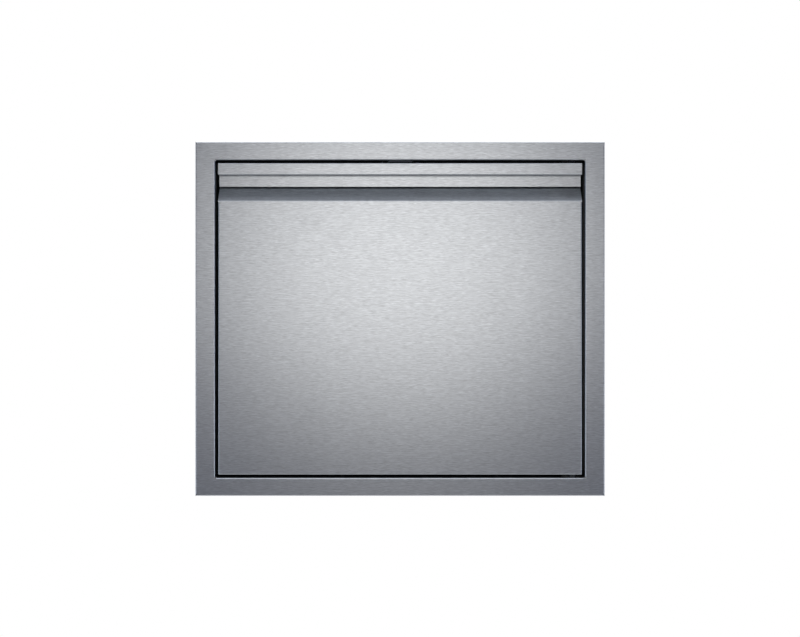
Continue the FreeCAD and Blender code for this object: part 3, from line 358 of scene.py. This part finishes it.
def pick(piece, kind, test):
    """In edit mode, selects the vertices, edges or faces whose middle passes a test."""
    bpy.ops.mesh.select_mode(type=kind)
    bpy.ops.mesh.select_all(action="DESELECT")
    shape = bmesh.from_edit_mesh(piece.data)
    cells = {"VERT": shape.verts, "EDGE": shape.edges, "FACE": shape.faces}[kind]
    for cell in cells:
        corners = [cell] if kind == "VERT" else cell.verts
        cell.select_set(test(sum((corner.co for corner in corners), Vector()) / len(corners)))
    bmesh.update_edit_mesh(piece.data)


def apply_modifier(piece, kind, **settings):
    """Adds a modifier with its settings and applies it."""
    modifier = piece.modifiers.new(kind.title(), kind)
    for name, value in settings.items():
        setattr(modifier, name, value)
    bpy.context.view_layer.objects.active = piece
    bpy.ops.object.modifier_apply(modifier=modifier.name)


def join_pieces(pieces, name):
    """Joins pieces into one and names it."""
    clear_selection()
    for piece in pieces:
        piece.select_set(True)
    bpy.context.view_layer.objects.active = pieces[0]
    if len(pieces) > 1:
        bpy.ops.object.join()
    whole = bpy.context.object
    whole.name = name
    return whole


def hand_over(piece, material, slot, body, *nodes):
    """Smooths a piece, gives it its finish and its body, and lets it stand for CAD nodes."""
    clear_selection()
    piece.select_set(True)
    bpy.context.view_layer.objects.active = piece
    bpy.ops.object.shade_smooth_by_angle(angle=SMOOTH_ANGLE)
    piece.data.materials.clear()
    piece.data.materials.append(material)
    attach(piece, body)
    if nodes:
        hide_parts(*nodes)
    print(piece.name, "has", len(piece.data.polygons), "faces")


# %% [markdown]
# ## Bulb seals
# A hollow rubber bulb on a flat foot runs round the inside of the sleeve, behind the door,
# and makes the gaps black.
# It could be drawn as a bevelled curve, but the foot has another outline than the bulb.
# So a tube without ends is drawn down into a neck and given its wall by Solidify,
# and a bar becomes the foot by insetting its top, raising that to a rib and rounding the long edges.

# %% Model one length of seal
BULB_SIDES = 40
SEAL_WALL = 1.2 * MM
NECK_START = 0.6
NECK_WIDTH = 0.8
FOOT_HEIGHT = 1.3 * MM
FOOT_SHOULDER = 1.6 * MM
FOOT_ROUNDING = 0.25 * MM
RIB_HEIGHT = 0.7 * MM


def bulb_seal(length, width, reach):
    """Length of seal along X, its foot down on the origin's level and its bulb upwards."""
    radius = width / 2
    centre = reach - radius
    clear_selection()
    bpy.ops.mesh.primitive_cylinder_add(vertices=BULB_SIDES, radius=radius, depth=length,
                                        end_fill_type="NOTHING", location=(0, 0, centre),
                                        rotation=(0, math.radians(90), 0))
    bulb = bpy.context.object
    bpy.ops.object.transform_apply()
    bpy.ops.object.mode_set(mode="EDIT")
    pick(bulb, "VERT", lambda spot: spot.z < centre - NECK_START * radius)
    bpy.ops.transform.resize(value=(1, NECK_WIDTH, 1))
    bpy.ops.transform.translate(value=(0, 0, FOOT_HEIGHT - (centre - radius)))
    bpy.ops.object.mode_set(mode="OBJECT")
    apply_modifier(bulb, "SOLIDIFY", thickness=SEAL_WALL, offset=-1.0)

    clear_selection()
    bpy.ops.mesh.primitive_cube_add(size=1, location=(0, 0, FOOT_HEIGHT / 2))
    foot = bpy.context.object
    foot.scale = (length, width, FOOT_HEIGHT)
    bpy.ops.object.transform_apply()
    bpy.ops.object.mode_set(mode="EDIT")
    pick(foot, "FACE", lambda spot: spot.z > 0.9 * FOOT_HEIGHT)
    bpy.ops.mesh.inset(thickness=FOOT_SHOULDER)
    bpy.ops.transform.resize(value=(length / (length - 2 * FOOT_SHOULDER), 1, 1))
    bpy.ops.transform.translate(value=(0, 0, RIB_HEIGHT))
    pick(foot, "EDGE", lambda spot: abs(spot.x) < 0.1 * length)
    bpy.ops.mesh.bevel(offset=FOOT_ROUNDING, segments=3)
    bpy.ops.object.mode_set(mode="OBJECT")
    return join_pieces([bulb, foot], "seal_length")


# %% [markdown]
# Each run of seal is modelled at its own length and then turned and moved to the wall it is stuck to.
# Applying that turn leaves the object itself at the origin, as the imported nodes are.

# %% Lay the four seals
UP_TURN = 0.0
DOWN_TURN = math.pi
RIGHT_TURN = math.pi / 2
LEFT_TURN = -math.pi / 2


def lay_seal(low, high, turn):
    """Length of seal that fills a box, its foot on the side that the turn gives."""
    size = high - low
    middle = (low + high) / 2
    upright = abs(math.sin(turn)) > 0.5
    length, reach = (size.z, size.x) if upright else (size.x, size.z)
    seal = bulb_seal(length, size.y, reach)
    seal.rotation_euler = (0, turn, 0)
    foot = {UP_TURN: (middle.x, middle.y, low.z), DOWN_TURN: (middle.x, middle.y, high.z),
            RIGHT_TURN: (low.x, middle.y, middle.z), LEFT_TURN: (high.x, middle.y, middle.z)}
    seal.location = foot[turn]
    bpy.ops.object.transform_apply()
    return seal


SEAL_TURNS = (("seal_bottom", UP_TURN), ("seal_top", DOWN_TURN), ("seal_free_side", RIGHT_TURN))
for node, turn in SEAL_TURNS:
    seal = join_pieces([lay_seal(*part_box(node), turn)], "bulb_" + node)
    hand_over(seal, finishes["seal_rubber"], "seal_rubber", "frame", node)

# %% [markdown]
# On the hinge side the door's rear corner swings inwards, so that seal sits further back.
# It turns the corner at the top and the bottom with two short level lengths,
# where it meets the other seals.
# Flat strips of dark rubber run on from its foot towards the front. They are painted shade:
# they stand in for the shadow in the gaps beside the pivots, so that no bright wall shows there.
# Each strip is a bar whose edges are rounded by Bevel:
# one upright on the wall, and two level ones behind the bushes.

# %% Model the painted-shade strips in front of the hinge-side seal
STRIP_THICKNESS = 1.0 * MM
STRIP_CLEARANCE = 0.3 * MM
STRIP_LAP = 0.5 * MM
STRIP_ROUNDING = 0.3 * MM

hinge_low, hinge_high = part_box("seal_hinge_side")


def shade_strip(low, high):
    """Flat strip of dark rubber that fills a box, its edges rounded: painted shade for a gap."""
    clear_selection()
    bpy.ops.mesh.primitive_cube_add(size=1, location=(low + high) / 2)
    strip = bpy.context.object
    strip.scale = high - low
    bpy.ops.object.transform_apply()
    bpy.ops.object.mode_set(mode="EDIT")
    bpy.ops.mesh.select_all(action="SELECT")
    bpy.ops.mesh.bevel(offset=STRIP_ROUNDING, segments=2)
    bpy.ops.object.mode_set(mode="OBJECT")
    return strip


strip_x = hinge_high.x - STRIP_THICKNESS
strip_rear = hinge_low.y + STRIP_LAP
behind_frame = frame_high.y + STRIP_CLEARANCE
behind_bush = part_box("lower_bush")[1].y + STRIP_CLEARANCE
# Painted shade: three dark rubber strips keep the gaps beside the pivots black and stand in for the shadow
# there.
shade_strips = [
    shade_strip(Vector((strip_x, behind_frame, hinge_low.z)),
               Vector((hinge_high.x, strip_rear, hinge_high.z))),
    shade_strip(Vector((hinge_low.x, behind_bush, hinge_high.z - STRIP_THICKNESS)),
               Vector((strip_x, strip_rear, hinge_high.z))),
    shade_strip(Vector((hinge_low.x, behind_bush, hinge_low.z)),
               Vector((strip_x, strip_rear, hinge_low.z + STRIP_THICKNESS))),
]
print("made", len(shade_strips), "shade_strips")

# %% Lay the hinge-side seal
seal_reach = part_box("seal_bottom")[1].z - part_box("seal_bottom")[0].z
inner_z = hinge_high.z - seal_reach
lengths = [
    lay_seal(Vector((hinge_high.x - seal_reach, hinge_low.y, -inner_z)),
             Vector((hinge_high.x, hinge_high.y, inner_z)), LEFT_TURN),
    lay_seal(Vector((hinge_low.x, hinge_low.y, inner_z)), hinge_high, DOWN_TURN),
    lay_seal(hinge_low, Vector((hinge_high.x, hinge_high.y, -inner_z)), UP_TURN),
]
# The seal's three lengths and the painted-shade strips become one piece.
hinge_seal_and_shade_strips = join_pieces(lengths + shade_strips, "bulb_seal_and_shade_strips_hinge_side")
hand_over(hinge_seal_and_shade_strips, finishes["seal_rubber"], "seal_rubber", "frame", "seal_hinge_side")

# %% [markdown]
# ## Bumpers
# Two rubber buttons stop the free edge of the door.
# Each is pulled through a hole in its bracket and held there by a barb.
# A lathe-like shape could come from Spin or Screw.
# Here a disc is extruded ring by ring and resized at each step, which is quick to change,
# and its face is inset and pushed in for the shallow dish of the moulding.

# %% Model the bumpers
# Depth and radius of each ring in mm, from the face to the tip of the barb
BUMPER_RINGS = ((0.3, 4.7), (0.8, 5.15), (1.5, 5.35), (4.2, 5.35), (4.3, 5.48), (4.6, 5.48),
                (4.7, 5.35), (7.7, 5.35), (8.3, 5.0), (8.6, 4.5), (8.6, 2.4), (10.1, 2.4),
                (10.1, 3.15), (10.6, 3.15), (12.1, 1.7))
BUMPER_FACE_RADIUS = 4.0
BUMPER_SIDES = 48
DISH_RIM = 1.0 * MM
DISH_SLOPE = 0.7 * MM
DISH_DEPTH = 0.5 * MM
MERGE_DISTANCE = 0.001 * MM


def bumper(node):
    low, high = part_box(node)
    middle = (low + high) / 2
    clear_selection()
    bpy.ops.mesh.primitive_circle_add(vertices=BUMPER_SIDES, radius=BUMPER_FACE_RADIUS * MM,
                                      fill_type="NGON", location=(middle.x, low.y, middle.z),
                                      rotation=(math.radians(90), 0, 0))
    button = bpy.context.object
    bpy.ops.object.transform_apply()
    bpy.ops.object.mode_set(mode="EDIT")
    bpy.ops.mesh.select_all(action="SELECT")
    depth, radius = 0.0, BUMPER_FACE_RADIUS
    for next_depth, next_radius in BUMPER_RINGS:
        step = (next_depth - depth) * MM
        bpy.ops.mesh.extrude_region_move(TRANSFORM_OT_translate={"value": (0, step, 0)})
        share = next_radius / radius
        bpy.ops.transform.resize(value=(share, 1, share))
        depth, radius = next_depth, next_radius
    pick(button, "FACE", lambda spot: spot.y < low.y + 0.01 * MM)
    bpy.ops.mesh.inset(thickness=DISH_RIM)
    bpy.ops.mesh.inset(thickness=DISH_SLOPE)
    bpy.ops.transform.translate(value=(0, DISH_DEPTH, 0))
    bpy.ops.mesh.select_all(action="SELECT")
    bpy.ops.mesh.remove_doubles(threshold=MERGE_DISTANCE)
    bpy.ops.mesh.normals_make_consistent(inside=False)
    bpy.ops.object.mode_set(mode="OBJECT")
    button.name = "rubber_" + node
    return button


for node in ("bumper_upper", "bumper_lower"):
    hand_over(bumper(node), finishes["bumper_rubber"], "bumper_rubber", "frame", node)

# %% [markdown]
# ## The spring of the release pin
# When the knob is drawn up, the pin's shoulder pushes the spring together.
# A rigid node can't do that, so the coil is wound here.
# The Screw modifier sweeps a circle as thick as the wire round and upwards,
# and the two open ends are then filled.

# %% Wind the spring
WIRE_RADIUS = 0.4 * MM
WIRE_SIDES = 12
SPRING_TURNS = 7
STEPS_PER_TURN = 36

spring_low, spring_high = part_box("pin_spring")
spring_length = spring_high.z - spring_low.z
pivot_x = (spring_low.x + spring_high.x) / 2
coil_radius = spring_high.x - pivot_x - WIRE_RADIUS
coil_pitch = (spring_length - 2 * WIRE_RADIUS) / SPRING_TURNS
clear_selection()
bpy.ops.mesh.primitive_circle_add(vertices=WIRE_SIDES, radius=WIRE_RADIUS, location=(coil_radius, 0, 0),
                                  rotation=(math.radians(90), 0, 0))
spring = bpy.context.object
bpy.ops.object.transform_apply()
apply_modifier(spring, "SCREW", angle=2 * math.pi, screw_offset=coil_pitch, iterations=SPRING_TURNS,
               steps=STEPS_PER_TURN, render_steps=STEPS_PER_TURN)
bpy.ops.object.mode_set(mode="EDIT")
bpy.ops.mesh.select_all(action="SELECT")
bpy.ops.mesh.fill_holes(sides=0)
bpy.ops.mesh.select_all(action="SELECT")
bpy.ops.mesh.normals_make_consistent(inside=False)
bpy.ops.object.mode_set(mode="OBJECT")
spring.name = "coil_spring"
spring.location = (pivot_x, 0, spring_low.z + WIRE_RADIUS)
bpy.ops.object.transform_apply()
hand_over(spring, finishes["spring_steel"], "spring_steel", "door", "pin_spring")
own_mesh(spring)

# %% [markdown]
# ## Weld beads on the sleeve
# The four panels of the sleeve are welded along their outer corners in short runs.
# A hand-held torch lays a row of overlapping drops, like a fallen stack of coins,
# with straw and blue heat tint.
# One drop is half a flattened ball, cut off by Bisect, and the Array modifier repeats it along the seam.

# %% Model one weld run
WELD_RADIUS = 1.7 * MM
WELD_FLATNESS = (0.45, 0.9, 1)
WELD_STEP = 1.3 * MM
WELD_DROPS = 14
TINT_SIZE = 2.4 * MM

weld_finish = even_finish("heat-tinted weld", TINT_SIZE, ("#848A96", "#B8AB90"), (0.40, 0.26),
                          0.03 * MM, METAL)


def weld_run():
    """Run of weld along Y on the level of X = 0, bulging towards +X."""
    clear_selection()
    bpy.ops.mesh.primitive_uv_sphere_add(segments=14, ring_count=10, radius=WELD_RADIUS)
    drop = bpy.context.object
    bpy.ops.object.mode_set(mode="EDIT")
    bpy.ops.mesh.select_all(action="SELECT")
    bpy.ops.transform.resize(value=WELD_FLATNESS)
    bpy.ops.mesh.bisect(plane_co=(0, 0, 0), plane_no=(1, 0, 0), use_fill=True, clear_inner=True)
    bpy.ops.mesh.select_all(action="SELECT")
    bpy.ops.transform.translate(value=(0, -WELD_STEP * (WELD_DROPS - 1) / 2, 0))
    bpy.ops.object.mode_set(mode="OBJECT")
    apply_modifier(drop, "ARRAY", count=WELD_DROPS, use_relative_offset=False, use_constant_offset=True,
                   constant_offset_displace=(0, WELD_STEP, 0))
    return drop


# %% Lay the weld runs
jamb_low, jamb_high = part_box("jamb_right")
SEAM_X = jamb_high.x
SEAM_Z = jamb_high.z
WELD_SHARES = (0.17, 0.5, 0.83)
WELD_DEPTHS = [jamb_low.y + share * (jamb_high.y - jamb_low.y) for share in WELD_SHARES]

runs = []
for x_side in (-1, 1):
    for z_side in (-1, 1):
        for depth in WELD_DEPTHS:
            run = weld_run()
            run.rotation_euler = (0, 0, 0 if x_side > 0 else math.pi)
            run.location = (x_side * SEAM_X, depth, z_side * SEAM_Z)
            bpy.ops.object.transform_apply()
            runs.append(run)
welds = join_pieces(runs, "corner_welds")
hand_over(welds, weld_finish, "mill_stainless", "frame")

# %% [markdown]
# ## Spot welds
# The sleeve is spot-welded to the fold of the face frame, a row of round marks just behind the face.
# The electrodes leave a low ring round a shallow dish.
# A flat disc, inset twice, with the inner faces pressed down, is enough for such a small mark.

# %% Model one spot weld
SPOT_RADIUS = 2.7 * MM
SPOT_HEIGHT = 0.18 * MM
SPOT_SIDES = 24
OUTER_SLOPE = 0.45 * MM
RING_WIDTH = 0.5 * MM
INNER_SLOPE = 0.6 * MM
SPOT_DISH = 0.7 * SPOT_HEIGHT


def spot_weld():
    """Round mark on the level of Z = 0, its ring upwards."""
    clear_selection()
    bpy.ops.mesh.primitive_circle_add(vertices=SPOT_SIDES, radius=SPOT_RADIUS, fill_type="NGON")
    spot = bpy.context.object
    bpy.ops.object.mode_set(mode="EDIT")
    bpy.ops.mesh.select_all(action="SELECT")
    bpy.ops.mesh.inset(thickness=OUTER_SLOPE)
    bpy.ops.transform.translate(value=(0, 0, SPOT_HEIGHT))
    bpy.ops.mesh.inset(thickness=RING_WIDTH)
    bpy.ops.mesh.inset(thickness=INNER_SLOPE)
    bpy.ops.transform.translate(value=(0, 0, -SPOT_DISH))
    bpy.ops.object.mode_set(mode="OBJECT")
    return spot


# %% Set the spot welds
SPOT_SETBACK = 5 * MM
SPOT_DEPTH = jamb_low.y + SPOT_SETBACK
SPOT_LEVELS = [level * MM for level in (-195, -117, -39, 39, 117, 195)]
SPOT_PLACES = [place * MM for place in (-235, -160, -85, 85, 160)]
SLEEVE_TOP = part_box("jamb_top")[1].z

marks = []
for side in (-1, 1):
    for level in SPOT_LEVELS:
        mark = spot_weld()
        mark.rotation_euler = (0, side * math.pi / 2, 0)
        mark.location = (side * SEAM_X, SPOT_DEPTH, level)
        bpy.ops.object.transform_apply()
        marks.append(mark)
    for place in SPOT_PLACES:
        mark = spot_weld()
        mark.rotation_euler = (0 if side > 0 else math.pi, 0, 0)
        mark.location = (place, SPOT_DEPTH, side * SLEEVE_TOP)
        bpy.ops.object.transform_apply()
        marks.append(mark)
spots = join_pieces(marks, "spot_welds")
hand_over(spots, weld_finish, "mill_stainless", "frame")

# %% [markdown]
# ## The studio
# The camera stands square in front of the door, at the distance that the depth of the pull calls for.
# Its lens follows from the width that the frame takes up in the picture,
# and a shift of the lens puts the frame's centre a fraction of a pixel beside the picture's.

# %% Place the camera
CAMERA_DISTANCE = 2.31
SENSOR_WIDTH = 36.0
PICTURE_WIDTH = 800
FRAME_PIXELS = 409.53
CENTRE_OFFSET = (0.05, 0.37)

view_width = FRAME_WIDTH * PICTURE_WIDTH / FRAME_PIXELS
bpy.ops.object.camera_add(location=(FRAME_CENTRE.x, FRONT - CAMERA_DISTANCE, FRAME_CENTRE.z),
                          rotation=(math.radians(90), 0, 0))
camera = bpy.context.object
camera.data.sensor_width = SENSOR_WIDTH
camera.data.lens = SENSOR_WIDTH * CAMERA_DISTANCE / view_width
camera.data.shift_x = -CENTRE_OFFSET[0] / PICTURE_WIDTH
camera.data.shift_y = CENTRE_OFFSET[1] / PICTURE_WIDTH
bpy.context.scene.camera = camera
print("lens", round(camera.data.lens, 2), "mm")

# %% [markdown]
# ## Lamps
# Brushed steel shows its lamps as broad glows.
# One soft lamp just above the camera makes the glow in the upper middle of the face,
# which fades towards the edges.
# A second one, high in front and slightly cool, draws the light line along the lower edge of the opening.
# Two low cards, left and right of the camera, give the face something pale to mirror from the side.
# The last one, behind the door, lights the floor and the rear, and leaves the face as it is.

# %% Hang the lamps
# Name, place, target, shape, width and height in metres, power in watts, colour
LAMPS = (
    ("key_lamp", (0, -2.6, 0.22), (0, 0, 0.05), "ELLIPSE", 1.2, 1.0, 5.85, "#FFFCF7"),
    ("top_lamp", (0, -1.6, 1.6), (0, 0, 0), "RECTANGLE", 1.8, 1.2, 9.2, "#F4F9FF"),
    ("left_card", (-2.05, -2.2, -0.55), (0, 0, 0), "RECTANGLE", 1.5, 1.0, 8.2, "#E8EEFA"),
    ("right_card", (2.05, -2.2, -0.55), (0, 0, 0), "RECTANGLE", 1.5, 1.0, 8.2, "#E8EEFA"),
    ("back_lamp", (0, 1.8, 2.0), (0, 0.2, -0.8), "RECTANGLE", 3.4, 2.2, 42.0, "#FFFFFF"),
)
for name, place, target, shape, width, height, power, colour in LAMPS:
    bpy.ops.object.light_add(type="AREA", location=place)
    lamp = bpy.context.object
    lamp.name = name
    lamp.rotation_euler = (Vector(target) - Vector(place)).to_track_quat("-Z", "Y").to_euler()
    lamp.data.shape = shape
    lamp.data.size = width
    lamp.data.size_y = height
    lamp.data.energy = power
    lamp.data.color = linear(colour)[:3]
print("hung", len(LAMPS), "lamps")

# %% [markdown]
# ## Floor and surroundings
# The door stands over a pale matt floor, far enough below it to stay out of the picture.
# The camera sees plain white behind the door, and so do the shiny surfaces that look that way.
# The room in front is a very dark blue, as behind a photographer.
# Its sides are a cool mid grey and its ceiling is pale, and soft steps lead from one to the next.

# %% Lay the floor
FLOOR_DROP = 0.8
FLOOR_RADIUS = 2.2
PAINT_CLOUD = 300 * MM
PAINT_GLOSS = {"IOR": 1.45}

floor_finish = even_finish("pale matt paint", PAINT_CLOUD, ("#F5F1EA", "#FAF7F1"), (0.85, 0.78),
                           0.02 * MM, PAINT_GLOSS)
clear_selection()
bpy.ops.mesh.primitive_circle_add(vertices=96, radius=FLOOR_RADIUS, fill_type="NGON",
                                  location=(0, 0, frame_low.z - FLOOR_DROP))
floor = bpy.context.object
floor.name = "studio_floor"
floor.data.materials.append(floor_finish)
print("floor", round((frame_low.z - floor.location.z) / MM), "mm below the frame")

# %% Paint the surroundings
SIDES, FRONT_WALL, CEILING, WHITE = "#8995A3", "#030D30", "#BABCC5", "#FFFFFF"
# Each part of the room, the axis that it lies along and the part of that axis over which it comes in
ROOM_PARTS = (("behind", "Y", 0.0, 0.3), ("ahead", "Y", -0.5, -0.88), ("overhead", "Z", 0.6, 0.9))

world = bpy.data.worlds.new("studio")
bpy.context.scene.world = world
world.use_nodes = True
sky = world.node_tree
sky.nodes.clear()
way = add(sky, "ShaderNodeTexCoord")
heading = add(sky, "ShaderNodeSeparateXYZ", {0: way.outputs["Generated"]})
share = {}
for part, axis, start, end in ROOM_PARTS:
    share[part] = add(sky, "ShaderNodeMapRange", {"Value": heading.outputs[axis], "From Min": start,
                                                  "From Max": end}).outputs[0]
room = add(sky, "ShaderNodeMix", data_type="RGBA",
           inputs={"Factor": share["ahead"], 6: linear(SIDES), 7: linear(FRONT_WALL)}).outputs[2]
ceiling = add(sky, "ShaderNodeMix", data_type="RGBA",
              inputs={"Factor": share["overhead"], 6: room, 7: linear(CEILING)}).outputs[2]
path = add(sky, "ShaderNodeLightPath")
shiny = add(sky, "ShaderNodeMath", operation="MAXIMUM",
            inputs={0: path.outputs["Is Glossy Ray"], 1: path.outputs["Is Transmission Ray"]}).outputs[0]
shiny_back = add(sky, "ShaderNodeMath", {0: shiny, 1: share["behind"]}, operation="MULTIPLY").outputs[0]
white_share = add(sky, "ShaderNodeMath", {0: path.outputs["Is Camera Ray"], 1: shiny_back},
                  operation="MAXIMUM").outputs[0]
shade = add(sky, "ShaderNodeMix", data_type="RGBA",
            inputs={"Factor": white_share, 6: ceiling, 7: linear(WHITE)}).outputs[2]
backdrop = add(sky, "ShaderNodeBackground", {"Color": shade, "Strength": 1.0})
add(sky, "ShaderNodeOutputWorld", {"Surface": backdrop.outputs[0]})
print("painted", world.name, "with", len(sky.nodes), "nodes")

# %% [markdown]
# ## The view transform
# The picture keeps the Standard view, so colours come out about as they are written.

# %% Set the view and finish
bpy.context.scene.view_settings.view_transform = "Standard"
